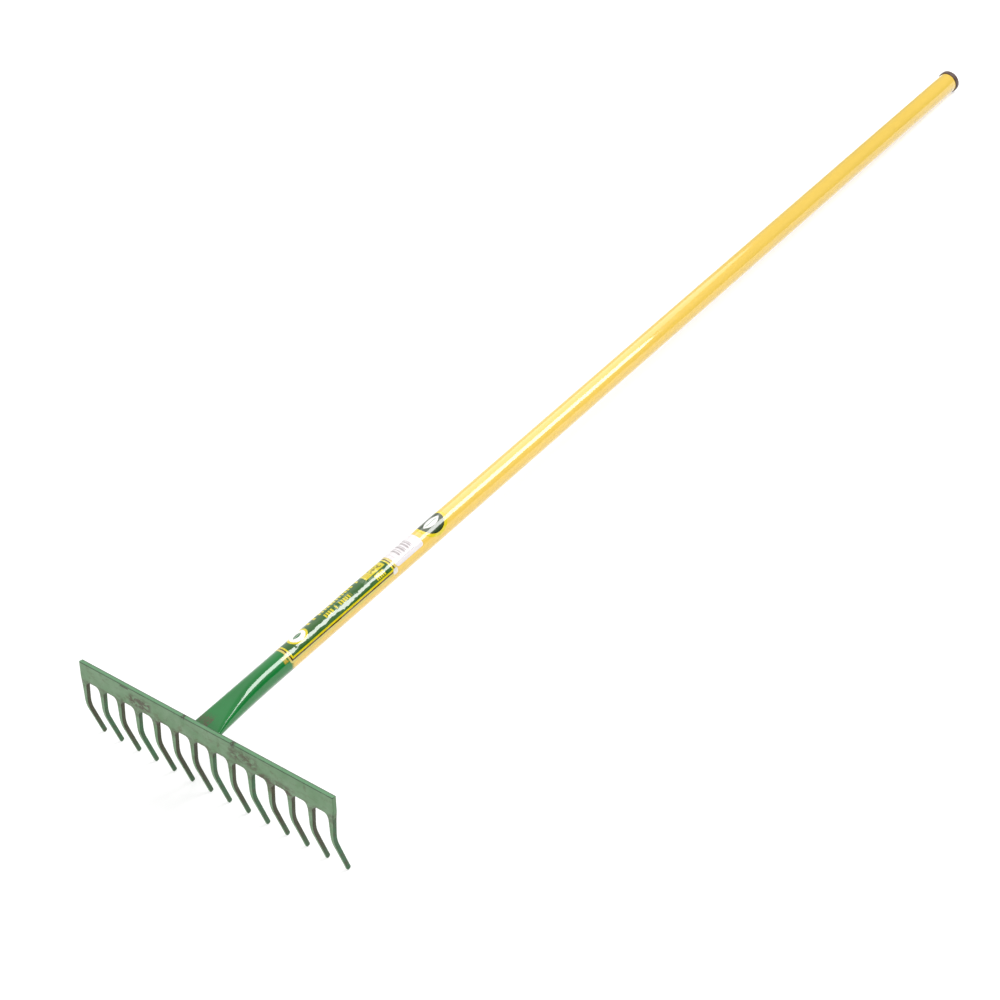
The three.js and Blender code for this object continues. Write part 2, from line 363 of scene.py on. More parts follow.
def handle():
    """The tube as rings, down its outside, over the far end's lip and back up inside."""
    sides = 96
    stations = [0, 0.0015, 0.003, 0.0045, 0.006, 0.008]
    stations += [FLAT_START + (FLAT_END - FLAT_START) * k / 36 for k in range(1, 37)]
    stations += [lerp(0.112, TUBE_LENGTH - 0.001, k / 48) for k in range(49)]
    angles = [-math.pi + 2 * math.pi * k / sides for k in range(sides)]
    inner = TUBE_R - TUBE_WALL
    rings = []
    for y in stations:
        rings.append([tube_point(a, y, TUBE_R) for a in angles])
    for y, r in ((TUBE_LENGTH - 0.0004, TUBE_R - 0.00008), (TUBE_LENGTH, TUBE_R - 0.0004)):
        rings.append([tube_point(a, y, r) for a in angles])
    rings.append([tube_point(a, TUBE_LENGTH, inner + 0.0002) for a in angles])
    for y in reversed(stations):
        rings.append([tube_point(a, y, inner) for a in angles])
    verts, faces = loft(rings, closed_ends=False)
    n = len(rings[0])
    last = (len(rings) - 1) * n
    faces += [(last + j, last + (j + 1) % n, (j + 1) % n, j) for j in range(n)]
    obj = make("handle", verts, faces, "handle_tube", "handle_yellow")
    sharpen(obj, 50)
    return obj


# ---------------------------------------------------------------- weld beads
def bead(name, node, below):
    """A rippled bead in the corner between the bar's back and the flattened tube."""
    steps, arc = 110, 10
    side = -1 if below else 1
    corner_z = -FLAT_DROP + side * (FLAT_THICKNESS / 2 + GAP)
    off_bar = 0.0002
    roundness = 1.15
    rings = []
    for i in range(steps + 1):
        x = lerp(-WELD_HALF, WELD_HALF, i / steps)
        ends = math.sqrt(max(0.03, 1 - (abs(x) / WELD_HALF) ** 8))
        ripple = 0.5 + 0.5 * math.cos(2 * math.pi * (x / WELD_RIPPLE))
        wander = noise.noise(Vector((x * 160, 3.1 * side, 0.0)))
        up = (WELD_UP + 0.00018 * ripple + 0.0003 * wander) * ends
        out = (WELD_OUT + 0.0003 * ripple + 0.0004 * wander) * ends
        ring = []
        for k in range(arc + 1):
            a = math.pi / 2 * k / arc
            z = corner_z + side * up * math.sin(a) ** roundness
            y = bar_back(z) + off_bar + out * math.cos(a) ** roundness
            ring.append((x, y, z))
        ring.append((x, bar_back(corner_z) + off_bar, corner_z))
        rings.append(ring if below else list(reversed(ring)))
    obj = make(name, *loft(rings), node, "weld_green")
    sharpen(obj, 60)
    return obj


# ---------------------------------------------------------------- end plug
def plug():
    """The plug turned about the tube's axis: stem, rim and dome."""
    sides = 72
    start = TUBE_LENGTH + GAP * 0.4
    stem = TUBE_R - TUBE_WALL - GAP
    outline = [(stem - PLUG_STEM_TAPER / 2, start - PLUG_STEM)]
    outline += [(stem, start - PLUG_STEM + PLUG_STEM_TAPER), (stem, start)]
    outline += [(PLUG_R - 0.0005, start), (PLUG_R - 0.00012, start + 0.00015)]
    outline += [(PLUG_R, start + 0.0005), (PLUG_R, start + PLUG_RIM)]
    dome_steps = 13
    for k in range(1, dome_steps):
        a = math.pi / 2 * k / dome_steps
        r = PLUG_R * math.cos(a) ** PLUG_DOME_POWER
        outline.append((r, start + PLUG_RIM + PLUG_DOME * math.sin(a)))
    rings = []
    for r, y in outline:
        rings.append([
            (r * math.sin(2 * math.pi * j / sides), y, r * math.cos(2 * math.pi * j / sides))
            for j in range(sides)
        ])
    obj = make("plug", *loft(rings), "end_plug", "plug_brown")
    sharpen(obj, 40)
    return obj


# ---------------------------------------------------------------- labels
def sheet_on_tube(name, node, slot, outline_half, ends, steps, thickness, curl=None):
    """A film wrapped on the top of the tube. outline_half gives its half width at a y."""
    y0, y1 = ends
    across, along = steps
    grid = []
    for layer in (0, 1):
        for i in range(along + 1):
            y = lerp(y0, y1, i / along)
            half = outline_half(y)
            for j in range(across + 1):
                a = lerp(-half, half, j / across)
                r = TUBE_R + FILM_LIFT + thickness * layer
                if curl:
                    r += curl(a, y)
                grid.append((r * math.sin(a / TUBE_R), y, r * math.cos(a / TUBE_R)))
    n = across + 1
    top = (along + 1) * n
    faces = []
    for i in range(along):
        for j in range(across):
            a = i * n + j
            faces.append((top + a, top + a + 1, top + a + 1 + n, top + a + n))
            faces.append((a, a + n, a + 1 + n, a + 1))
    rim = list(range(n))
    rim += [i * n + across for i in range(1, along + 1)]
    rim += [along * n + j for j in range(across - 1, -1, -1)]
    rim += [i * n for i in range(along - 1, 0, -1)]
    for k in range(len(rim)):
        a, b = rim[k], rim[(k + 1) % len(rim)]
        faces.append((a, b, b + top, a + top))
    obj = make(name, grid, faces, node, slot)
    sharpen(obj, 50)
    return obj


def rounded(half, y0, y1, radius):
    """Half width of a rectangle with rounded corners."""
    def outline(y):
        edge = min(y - y0, y1 - y)
        if edge >= radius:
            return half
        step = radius - edge
        return half - radius + math.sqrt(max(0.0, radius * radius - step * step))
    return outline


# ---------------------------------------------------------------- node material helpers
class Nodes:
    """Small helper round one material's node tree."""

    def __init__(self, name):
        self.material = bpy.data.materials.new(name)
        self.material.use_nodes = True
        self.tree = self.material.node_tree
        self.tree.nodes.clear()
        self.out = self.add("ShaderNodeOutputMaterial")
        self.shader = self.add("ShaderNodeBsdfPrincipled")
        self.link(self.shader.outputs[0], self.out.inputs[0])
        self._tool = None
        self._parts = None

    def add(self, kind, **values):
        node = self.tree.nodes.new(kind)
        for key, value in values.items():
            setattr(node, key, value)
        return node

    def link(self, a, b):
        self.tree.links.new(a, b)

    def feed(self, socket, value):
        """Links an output to the socket, or sets the socket to a plain value."""
        if hasattr(value, "is_output"):
            self.link(value, socket)
        else:
            socket.default_value = value

    def math(self, operation, a, b=0.0):
        node = self.add("ShaderNodeMath", operation=operation)
        self.feed(node.inputs[0], a)
        self.feed(node.inputs[1], b)
        return node.outputs[0]

    def tool(self):
        """Position with the tube along Y and its axis at x = z = 0, in metres."""
        if self._tool is None:
            coord = self.add("ShaderNodeTexCoord")
            shift = self.add("ShaderNodeVectorMath", operation="SUBTRACT")
            shift.inputs[1].default_value = PLACE.translation
            self.link(coord.outputs["Object"], shift.inputs[0])
            turn_back = self.add("ShaderNodeVectorRotate", rotation_type="X_AXIS")
            turn_back.inputs["Angle"].default_value = TILT
            self.link(shift.outputs[0], turn_back.inputs["Vector"])
            self._tool = turn_back.outputs[0]
            split = self.add("ShaderNodeSeparateXYZ")
            self.link(self._tool, split.inputs[0])
            self._parts = split.outputs
        return self._tool

    def xyz(self):
        self.tool()
        return self._parts

    def around(self):
        """Distance round the tube from its top line, in millimetres."""
        x, _, z = self.xyz()
        angle = self.math("ARCTAN2", x, z)
        return self.math("MULTIPLY", angle, TUBE_R * 1000)

    def along(self):
        """Distance along the tube from the head, in millimetres."""
        return self.math("MULTIPLY", self.xyz()[1], 1000)

    def noise(self, scale, detail=4.0, rough=0.55, stretch=(1, 1, 1), distortion=0.0, offset=0.0):
        """Noise fixed to the rake; scale is in cells per metre, offset picks another pattern."""
        mapping = self.add("ShaderNodeMapping")
        mapping.inputs["Scale"].default_value = stretch
        mapping.inputs["Location"].default_value = (offset, offset * 0.37, -offset)
        self.link(self.tool(), mapping.inputs["Vector"])
        node = self.add("ShaderNodeTexNoise")
        node.inputs["Scale"].default_value = scale
        node.inputs["Detail"].default_value = detail
        node.inputs["Roughness"].default_value = rough
        node.inputs["Distortion"].default_value = distortion
        self.link(mapping.outputs[0], node.inputs["Vector"])
        return node.outputs["Fac"]

    def step(self, value, low, high):
        """0 below low, 1 above high, smooth between; low may be above high."""
        node = self.add("ShaderNodeMapRange", interpolation_type="SMOOTHSTEP")
        self.feed(node.inputs["Value"], value)
        if low <= high:
            bounds_, ends = (low, high), (0.0, 1.0)
        else:
            bounds_, ends = (high, low), (1.0, 0.0)
        node.inputs["From Min"].default_value = bounds_[0]
        node.inputs["From Max"].default_value = bounds_[1]
        node.inputs["To Min"].default_value = ends[0]
        node.inputs["To Max"].default_value = ends[1]
        return node.outputs[0]

    def mix(self, factor, a, b):
        node = self.add("ShaderNodeMix", data_type="RGBA", blend_type="MIX")
        self.feed(node.inputs["Factor"], factor)
        for socket, value in ((node.inputs[6], a), (node.inputs[7], b)):
            if isinstance(value, tuple) and len(value) == 3:
                value = (*value, 1.0)
            self.feed(socket, value)
        return node.outputs[2]

    def mul(self, *values):
        result = values[0]
        for value in values[1:]:
            result = self.math("MULTIPLY", result, value)
        return result

    def either(self, *values):
        result = values[0]
        for value in values[1:]:
            result = self.math("MAXIMUM", result, value)
        return result

    def band(self, value, low, high, soft):
        """1 between low and high, with soft edges."""
        rise = self.step(value, low - soft, low + soft)
        fall = self.step(value, high + soft, high - soft)
        return self.mul(rise, fall)

    def rect(self, u, v, u0, u1, v0, v1, soft=0.12):
        return self.mul(self.band(u, u0, u1, soft), self.band(v, v0, v1, soft))

    def ellipse(self, u, v, cu, cv, ru, rv, soft=0.03):
        """1 inside an ellipse, and the distance from its centre as a share of its radius."""
        a = self.math("DIVIDE", self.math("SUBTRACT", u, cu), ru)
        b = self.math("DIVIDE", self.math("SUBTRACT", v, cv), rv)
        r = self.math("SQRT", self.math("ADD", self.mul(a, a), self.mul(b, b)))
        return self.step(r, 1 + soft, 1 - soft), r

    def bump(self, height, strength, distance):
        node = self.add("ShaderNodeBump")
        node.inputs["Strength"].default_value = strength
        node.inputs["Distance"].default_value = distance
        self.link(height, node.inputs["Height"])
        return node.outputs["Normal"]


def srgb(r, g, b):
    """A colour from 0 to 255 values, as the linear values that Blender takes."""
    def lin(c):
        c /= 255
        return c / 12.92 if c <= 0.04045 else ((c + 0.055) / 1.055) ** 2.4
    return (lin(r), lin(g), lin(b))


# ---------------------------------------------------------------- paint on the comb
GREENER_TEETH = (1, 3, 7, 9, 13)       # teeth whose sheared sides kept more paint
LOW_BAR = EDGE_HEIGHT - BAR_DEPTH * 0.98
# Places on the bar in millimetres: x from, x to, z from, z to, softness. Dirt adds strength.
DIRTY_PLACES = (
    (-116, -81, -10, 3, 3.5, 1.0),
    (46, 90, -8, 5, 5.0, 0.9),
    (88, 142, -18, -7, 3.5, 1.0),
    (-75, -61, -20, -10, 3.0, 1.0),
    (-132, -120, -20, -10, 3.0, 1.0),
)
SCRATCH = (-131, -117, 6.6, 8.3, 0.5)
KNOCKS = ((-29, -24, 7.0, 12, 1.0), (49, 55, 5.5, 12, 1.2))


def facing(n):
    """How much the surface faces sideways along the bar, and how much it faces up."""
    normal = n.add("ShaderNodeNewGeometry")
    turned = n.add("ShaderNodeVectorRotate", rotation_type="X_AXIS")
    turned.inputs["Angle"].default_value = TILT
    n.link(normal.outputs["Normal"], turned.inputs["Vector"])
    split = n.add("ShaderNodeSeparateXYZ")
    n.link(turned.outputs[0], split.inputs[0])
    sideways = n.step(n.math("ABSOLUTE", split.outputs[0]), 0.6, 0.85)
    upward = n.step(split.outputs[2], 0.55, 0.85)
    return sideways, upward


def sheared_side_and_shade(n, x, z):
    """Thin paint over dark steel and partly painted shade, greener on some teeth than on others.
    """
    from_end = n.math("ADD", x, TEETH / 2 * PITCH)
    tooth = n.math("FLOOR", n.math("MULTIPLY", from_end, 1 / PITCH))
    greener = n.either(*(n.band(tooth, i - 0.5, i + 0.5, 0.1) for i in GREENER_TEETH))
    greener = n.either(greener, n.mul(n.step(z, -0.065, -0.088), 0.75))
    side = n.mix(greener, srgb(60, 60, 38), srgb(54, 100, 64))
    return n.mix(n.step(n.noise(160, 5, 0.6, offset=1.7), 0.4, 0.75), side, srgb(68, 72, 46))


def bar_dirt(n, green, mx, mz):
    """Brown dirt in the worst places and along the gaps; mx and mz are in millimetres."""
    grime = n.noise(240, 6, 0.75, stretch=(0.45, 1, 1), distortion=0.5, offset=13.0)
    grime = n.step(grime, 0.40, 0.53)
    above_gaps = n.mul(n.step(mz, -9.5, -12.5), n.step(mz, -24, -20), 0.5)
    places = [n.mul(n.rect(mx, mz, *place), strength) for *place, strength in DIRTY_PLACES]
    return n.mix(n.mul(grime, n.either(*places, above_gaps), 0.85), green, srgb(76, 60, 44))


def bar_knocks(n, green, mx, mz):
    """A scratch under the levelling edge, and two knocks on the edge itself."""
    knocks = n.either(*(n.rect(mx, mz, *place) for place in KNOCKS))
    knocks = n.mul(knocks, n.step(n.noise(420, 4, 0.6, offset=4.4), 0.4, 0.5))
    marks = n.either(n.rect(mx, mz, *SCRATCH), knocks)
    return n.mix(n.mul(marks, 0.85), green, srgb(58, 44, 34))


def edge_lines(n, green, y, mz, upward):
    """Broken dark lines along both edges of the bar's top."""
    front = n.mul(n.step(mz, 8.4, 8.8), n.math("SUBTRACT", 1.0, upward))
    back_edge = n.mul(upward, n.step(n.math("MULTIPLY", y, 1000), 3.6, 4.1))
    broken = n.step(n.noise(130, 5, 0.65, offset=6.1), 0.27, 0.45)
    lines = n.mul(n.either(back_edge, front), broken, n.step(mz, 6, 8), 0.85)
    return n.mix(lines, green, srgb(42, 56, 38))


def head_paint():
    """Worn green enamel, from the plain paint to stains, dirt, scratches and chips, with painted
    shade on the sideways faces and painted shading on the up-facing faces.
    """
    n = Nodes("head_enamel")
    x, y, z = n.xyz()
    mx, mz = n.math("MULTIPLY", x, 1000), n.math("MULTIPLY", z, 1000)
    sideways, upward = facing(n)
    fine = n.noise(900, 5, 0.6)
    broad = n.noise(38, 5, 0.6, offset=3.0)
    patches = n.noise(75, 6, 0.68, distortion=0.4, offset=7.3)
    green = n.mix(n.step(broad, 0.3, 0.7), srgb(102, 141, 99), srgb(122, 154, 119))
    green = n.mix(n.mul(n.step(patches, 0.56, 0.72), 0.7), green, srgb(100, 108, 80))
    teeth_only = n.either(n.step(z, LOW_BAR - 0.001, LOW_BAR - 0.004), 0.25)
    # sideways faces, mostly of the teeth, take the dark sheared-side colour, which is partly
    # painted shade
    green = n.mix(n.mul(sideways, teeth_only), green, sheared_side_and_shade(n, x, z))
    # up-facing faces get their own green, set to how they take the light: painted shading
    green = n.mix(n.mul(upward, 0.85), green, srgb(95, 144, 103))
    stain = n.step(n.noise(46, 6, 0.7, distortion=0.8, offset=11.0), 0.55, 0.68)
    low_bar = n.mul(n.step(z, 0.002, -0.008), n.step(z, -0.03, -0.014))
    stained = n.mul(stain, n.math("ADD", n.mul(low_bar, 0.6), 0.12))
    green = n.mix(stained, green, srgb(98, 84, 60))
    green = bar_dirt(n, green, mx, mz)
    green = bar_knocks(n, green, mx, mz)
    green = edge_lines(n, green, y, mz, upward)
    streaks = n.step(n.noise(330, 5, 0.7, stretch=(0.25, 1, 1), offset=21.0), 0.52, 0.68)
    streaks = n.mul(streaks, n.step(z, -0.016, -0.012), n.math("SUBTRACT", 1.0, upward))
    green = n.mix(n.mul(streaks, 0.4), green, srgb(96, 92, 70))
    # chips where the paint is gone
    chips = n.step(n.noise(210, 3, 0.5, distortion=1.2, offset=5.0), 0.735, 0.76)
    green = n.mix(n.mul(chips, 0.85), green, srgb(48, 34, 24))
    n.link(green, n.shader.inputs["Base Color"])
    rough = n.math("ADD", 0.42, n.mul(n.either(stain, n.step(patches, 0.4, 0.8)), 0.22))
    n.link(rough, n.shader.inputs["Roughness"])
    height = n.math("ADD", n.mul(fine, 0.35), n.mul(broad, 1.0))
    height = n.math("SUBTRACT", height, n.mul(chips, 0.8))
    n.link(n.bump(height, 0.35, 0.0004), n.shader.inputs["Normal"])
    n.shader.inputs["Specular IOR Level"].default_value = 0.45
    return n.material


# ---------------------------------------------------------------- paint on the tube, welds, plug
def yellow_paint(n, v):
    """Cleaner near the label and darker toward the far end, partly duller paint and partly
    painted shade, with a few specks.
    """
    # part of this grading is painted shade that makes up for the light, which falls off the other
    # way
    dulled_and_shaded = n.step(v, 250, 1400)
    yellow = n.mix(dulled_and_shaded, srgb(233, 194, 82), srgb(205, 172, 72))
    paler = n.mix(dulled_and_shaded, srgb(239, 204, 99), srgb(212, 181, 86))
    yellow = n.mix(n.noise(9, 3, 0.5, stretch=(1, 0.3, 1)), yellow, paler)
    speck = n.step(n.noise(420, 2, 0.5, offset=9.0), 0.77, 0.80)
    return n.mix(n.mul(speck, 0.5), yellow, srgb(150, 110, 50))


def scorching(n, a, v):
    """Where the paint beside the weld is scorched and scuffed, with ragged edges."""
    burn = n.step(n.noise(210, 5, 0.7, distortion=0.6, offset=6.0), 0.37, 0.55)
    ragged = n.mul(n.math("SUBTRACT", n.noise(110, 4, 0.7, offset=9.5), 0.5), 24)
    near_weld = n.step(n.math("ADD", v, ragged), 26, 12)
    return n.mul(burn, near_weld, n.band(n.math("ADD", a, ragged), -20, 6, 4))


def yellow_smear(n, colour, a, v):
    """A smear of yellow, part of it ochre, on the green in front of the label."""
    smear = n.mul(n.rect(a, v, 7.4, 15.4, 118, 124.5, 1.0),
                  n.step(n.noise(150, 4, 0.6, offset=8.0), 0.34, 0.5))
    colour = n.mix(n.mul(smear, 0.9), colour, srgb(206, 184, 66))
    ochre = n.mul(smear, n.step(n.noise(330, 3, 0.6, offset=2.4), 0.52, 0.6))
    return n.mix(n.mul(ochre, 0.8), colour, srgb(205, 130, 40))


def handle_paint():
    """Green at the head end, yellow from there on, under one gloss coat."""
    n = Nodes("handle_enamel")
    a, v = n.around(), n.along()
    wave = n.noise(30, 3, 0.5, offset=2.0)
    fine = n.noise(700, 3, 0.5)
    green = n.mix(n.noise(26, 4, 0.6, offset=4.0), srgb(15, 110, 45), srgb(28, 131, 60))
    burn = scorching(n, a, v)
    green = n.mix(n.mul(burn, 0.85), green, srgb(84, 68, 48))
    edge_line = n.math("ADD", v, n.math("MULTIPLY", n.math("SUBTRACT", wave, 0.5), 16))
    colour = n.mix(n.step(edge_line, 122.8, 127.0), green, yellow_paint(n, v))
    n.link(yellow_smear(n, colour, a, v), n.shader.inputs["Base Color"])
    n.link(n.math("ADD", 0.13, n.mul(burn, 0.35)), n.shader.inputs["Roughness"])
    height = n.math("ADD", n.mul(fine, 0.12), n.mul(n.noise(120, 3, 0.5, offset=1.0), 0.5))
    n.link(n.bump(height, 0.10, 0.0002), n.shader.inputs["Normal"])
    n.shader.inputs["Specular IOR Level"].default_value = 0.12
    n.shader.inputs["Coat Weight"].default_value = 1.0
    n.shader.inputs["Coat IOR"].default_value = 1.6
    n.shader.inputs["Coat Roughness"].default_value = 0.035
    return n.material


def weld_paint():
    n = Nodes("weld_enamel")
    soot = n.step(n.noise(190, 5, 0.65), 0.42, 0.66)
    green = n.mix(n.noise(80, 4, 0.6, offset=2.0), srgb(64, 120, 76), srgb(96, 148, 104))
    n.link(n.mix(n.mul(soot, 0.7), green, srgb(84, 70, 52)), n.shader.inputs["Base Color"])
    n.link(n.math("ADD", 0.35, n.mul(soot, 0.3)), n.shader.inputs["Roughness"])
    n.link(n.bump(n.noise(600, 4, 0.6), 0.3, 0.0003), n.shader.inputs["Normal"])
    return n.material


def plug_plastic():
    n = Nodes("plug_plastic")
    tone = n.mix(n.noise(60, 4, 0.6), srgb(62, 46, 44), srgb(88, 68, 64))
    scuff = n.step(n.noise(240, 5, 0.7, offset=3.0), 0.6, 0.72)
    n.link(n.mix(n.mul(scuff, 0.4), tone, srgb(128, 108, 98)), n.shader.inputs["Base Color"])
    n.link(n.math("ADD", 0.42, n.mul(scuff, 0.2)), n.shader.inputs["Roughness"])
    n.link(n.bump(n.noise(1500, 3, 0.6), 0.25, 0.0002), n.shader.inputs["Normal"])
    return n.material


# ---------------------------------------------------------------- prints on the films
# Places on a film are in millimetres: across from the tube's top line, along from the head.
def film_gloss(n, colour, rough, wrinkle, coat):
    """Clear gloss over a print, rippled where the film doesn't lie flat."""
    n.link(colour, n.shader.inputs["Base Color"])
    height = n.noise(60, 3, 0.5, stretch=(1, 0.6, 1), offset=6.0)
    wrinkled = n.bump(height, wrinkle, 0.003)
    n.link(wrinkled, n.shader.inputs["Normal"])
    n.link(wrinkled, n.shader.inputs["Coat Normal"])
    n.link(n.math("ADD", rough, n.mul(n.noise(240, 3, 0.6), 0.1)), n.shader.inputs["Roughness"])
    n.shader.inputs["Specular IOR Level"].default_value = 0.15
    n.shader.inputs["Coat Weight"].default_value = coat
    n.shader.inputs["Coat Roughness"].default_value = 0.05
    n.shader.inputs["Coat IOR"].default_value = 1.65
    return n.material


YELLOW = srgb(222, 204, 26)
PALE = srgb(212, 196, 100)
BROWN = srgb(78, 56, 16)
FIELD = srgb(40, 88, 30)
LEAF_GREEN = srgb(44, 112, 54)
PANEL_WHITE = srgb(246, 244, 240)
WHITE = srgb(238, 236, 232)


def leaf(n, u, v, cu, cv, half_width, half_length):
    """A pointed leaf along v: where two equal circles overlap."""
    across = half_length ** 2 / half_width
    radius, offset = (across + half_width) / 2, (across - half_width) / 2
    one, _ = n.ellipse(u, v, cu - offset, cv, radius, radius)
    two, _ = n.ellipse(u, v, cu + offset, cv, radius, radius)
    return n.mul(one, two)


def label_border(n, a, v):
    """Green field inside a yellow, a brown and a pale stripe, with square corners."""
    in_a = n.math("SUBTRACT", LABEL_HALF * 1000, n.math("ABSOLUTE", a))
    near_end = n.math("SUBTRACT", v, LABEL_Y0 * 1000)
    far_end = n.math("SUBTRACT", LABEL_Y1 * 1000, v)
    inset = n.math("MINIMUM", in_a, n.math("MINIMUM", near_end, far_end))
    field = n.mix(n.noise(120, 4, 0.6, offset=2.2), FIELD, srgb(56, 106, 44))
    colour = n.mix(n.step(inset, 6.5, 6.2), field, YELLOW)
    colour = n.mix(n.step(inset, 4.4, 4.2), colour, BROWN)
    return n.mix(n.step(inset, 2.7, 2.5), colour, PALE)


def leaf_panel(n, colour, a, v):
    """A plain oval with a yellow rim and one simple leaf."""
    ca, cv = -1.2, 152.3
    outer, r = n.ellipse(a, v, ca, cv, 10.5, 13.2)
    colour = n.mix(outer, colour, YELLOW)
    colour = n.mix(n.step(r, 0.80, 0.77), colour, PANEL_WHITE)
    colour = n.mix(leaf(n, a, v, ca, cv, 2.6, 6.5), colour, LEAF_GREEN)
    midrib = n.rect(a, v, ca - 0.2, ca + 0.2, 147.5, 160.5, 0.2)
    return n.mix(midrib, colour, PANEL_WHITE)


def block_row(n, colour, a, v, across, along, size, seed):
    """A row of plain blocks of uneven width, where a line of print would be."""
    cell = n.math("DIVIDE", n.math("SUBTRACT", v, along[0]), size)
    lane = n.math("FRACT", cell)
    number = n.add("ShaderNodeTexWhiteNoise", noise_dimensions="1D")
    n.link(n.math("ADD", n.math("FLOOR", cell), seed * 17.0), number.inputs["W"])
    width = n.math("ADD", 0.58, n.mul(number.outputs[0], 0.3))
    inside = n.step(n.math("SUBTRACT", width, lane), -0.03, 0.03)
    filled = n.mul(n.step(lane, 0.06, 0.12), inside, n.step(number.outputs[0], 0.16, 0.17))
    return n.mix(n.mul(n.rect(a, v, *across, *along, 0.2), filled), colour, YELLOW)


def label_boxes(n, colour, a, v):
    """A mottled yellow box and a small ruled one, at the far end."""
    colour = n.mix(n.rect(a, v, -7.6, 3.9, 258.5, 289, 0.3), colour, YELLOW)
    grain = n.step(n.noise(300, 3, 0.6, offset=12.0), 0.46, 0.54)
    inner = n.rect(a, v, -6.2, 2.2, 269, 286, 0.4)
    colour = n.mix(n.mul(inner, grain, 0.8), colour, srgb(104, 92, 22))
    rules = n.step(n.math("FRACT", n.mul(a, 0.45)), 0.5, 0.6)
    ruled = n.mul(n.rect(a, v, -6.2, 2.2, 261, 267, 0.4), rules, 0.6)
    colour = n.mix(ruled, colour, srgb(190, 140, 40))
    small = n.rect(a, v, 5.8, 13.2, 268.6, 282.6, 0.3)
    colour = n.mix(small, colour, YELLOW)
    from_start = n.math("SUBTRACT", v, 268.6)
    ticks = n.step(n.math("FRACT", n.mul(from_start, 0.34)), 0.58, 0.66)
    return n.mix(n.mul(small, ticks, n.step(a, 7.0, 7.4)), colour, srgb(60, 92, 30))


def label_print():
    """The long label: border, leaf panel, two rows of blocks and two boxes."""
    n = Nodes("label_print")
    a, v = n.around(), n.along()
    colour = leaf_panel(n, label_border(n, a, v), a, v)
    colour = block_row(n, colour, a, v, (-9.4, -2.6), (171, 254), 4.6, 1.0)
    colour = block_row(n, colour, a, v, (1.2, 6.6), (191, 234.5), 3.4, 2.0)
    colour = label_boxes(n, colour, a, v)
    # the loose far corner shows the white back of the film
    past_corner = n.math("ADD", n.math("SUBTRACT", v, 290), n.math("SUBTRACT", a, 14))
    flap = n.mul(n.rect(a, v, 14.6, 21, 290.5, 299, 0.6), n.step(past_corner, 3.6, 4.6))
    colour = n.mix(flap, colour, srgb(226, 222, 216))
    return film_gloss(n, colour, rough=0.10, wrinkle=0.65, coat=1.0)


def sticker_print():
    """White paper with irregular grey bars that stand for no code."""
    n = Nodes("sticker_print")
    a, v = n.around(), n.along()
    paper = n.mix(n.noise(90, 4, 0.6), srgb(236, 231, 232), srgb(229, 224, 226))
    lane = n.math("FLOOR", n.math("DIVIDE", v, 0.85))
    pick = n.add("ShaderNodeTexWhiteNoise", noise_dimensions="1D")
    n.link(lane, pick.inputs["W"])
    bars = n.mul(n.step(pick.outputs[0], 0.45, 0.5), n.rect(a, v, -10, 8.6, 308, 333, 0.3))
    colour = n.mix(n.mul(bars, 0.55), paper, srgb(112, 96, 100))
    dashes = n.mul(n.rect(a, v, 9.8, 11.2, 308, 335, 0.2),
                   n.step(n.math("FRACT", n.mul(v, 0.45)), 0.3, 0.4))
    colour = n.mix(n.mul(dashes, 0.5), colour, srgb(130, 122, 126))
    frame_line = n.mul(n.rect(a, v, -12, 12, 303.2, 303.9, 0.15), 0.4)
    colour = n.mix(frame_line, colour, srgb(180, 172, 176))
    return film_gloss(n, colour, rough=0.22, wrinkle=0.25, coat=0.5)


def badge_print():
    """Yellow rim, dark field and one simple pale leaf."""
    n = Nodes("badge_print")
    a, v = n.around(), n.along()
    vy = BADGE_Y * 1000
    radius = BADGE_R * 1000
    _, r = n.ellipse(a, v, 0, vy, radius, radius)
    colour = n.mix(n.noise(60, 3, 0.5), srgb(216, 198, 24), srgb(224, 206, 40))
    colour = n.mix(n.step(r, 0.82, 0.80), colour, srgb(44, 42, 24))
    mottled = n.noise(260, 3, 0.6, offset=3.0)
    field = n.mix(mottled, srgb(30, 52, 28), srgb(58, 78, 38))
    colour = n.mix(n.step(r, 0.77, 0.75), colour, field)
    colour = n.mix(leaf(n, a, v, 1.5, vy, 5.4, 13.0), colour, WHITE)
    colour = n.mix(n.rect(a, v, 1.1, 1.9, vy - 9.5, vy + 9.5, 0.3), colour, LEAF_GREEN)
    return film_gloss(n, colour, rough=0.12, wrinkle=0.25, coat=0.9)


# ---------------------------------------------------------------- build
def dress(obj, material):
    obj.data.materials.clear()
    obj.data.materials.append(material)


dress(comb(), head_paint())
dress(handle(), handle_paint())
weld_material = weld_paint()
dress(bead("weld_bead_top", "weld_top", False), weld_material)
dress(bead("weld_bead_under", "weld_bottom", True), weld_material)
dress(plug(), plug_plastic())


def curled_corner(a, y):
    """The far corner of the film has let go and lifts off the tube."""
    corner, fold, highest = 0.006, 0.003, 0.00034
    reach = (a - (LABEL_HALF - corner)) + (y - (LABEL_Y1 - corner))
    return 0.0 if reach <= fold else min(highest, (reach - fold) * 0.10)


def disc_half(y):
    return math.sqrt(max(1e-8, BADGE_R ** 2 - (y - BADGE_Y) ** 2))


label_half = rounded(LABEL_HALF, LABEL_Y0, LABEL_Y1, LABEL_CORNER)
dress(sheet_on_tube("label_film", "product_label", "film_green", label_half,
                    (LABEL_Y0, LABEL_Y1), (56, 160), 0.00010, curled_corner), label_print())
sticker_half = rounded(STICKER_HALF, STICKER_Y0, STICKER_Y1, STICKER_CORNER)
dress(sheet_on_tube("sticker_paper", "barcode_label", "paper_white", sticker_half,
                    (STICKER_Y0, STICKER_Y1), (48, 72), 0.00012), sticker_print())
disc_reach = BADGE_R * 0.9995
dress(sheet_on_tube("badge_film", "round_badge", "badge_green", disc_half,
                    (BADGE_Y - disc_reach, BADGE_Y + disc_reach), (56, 72), 0.00010),
      badge_print())

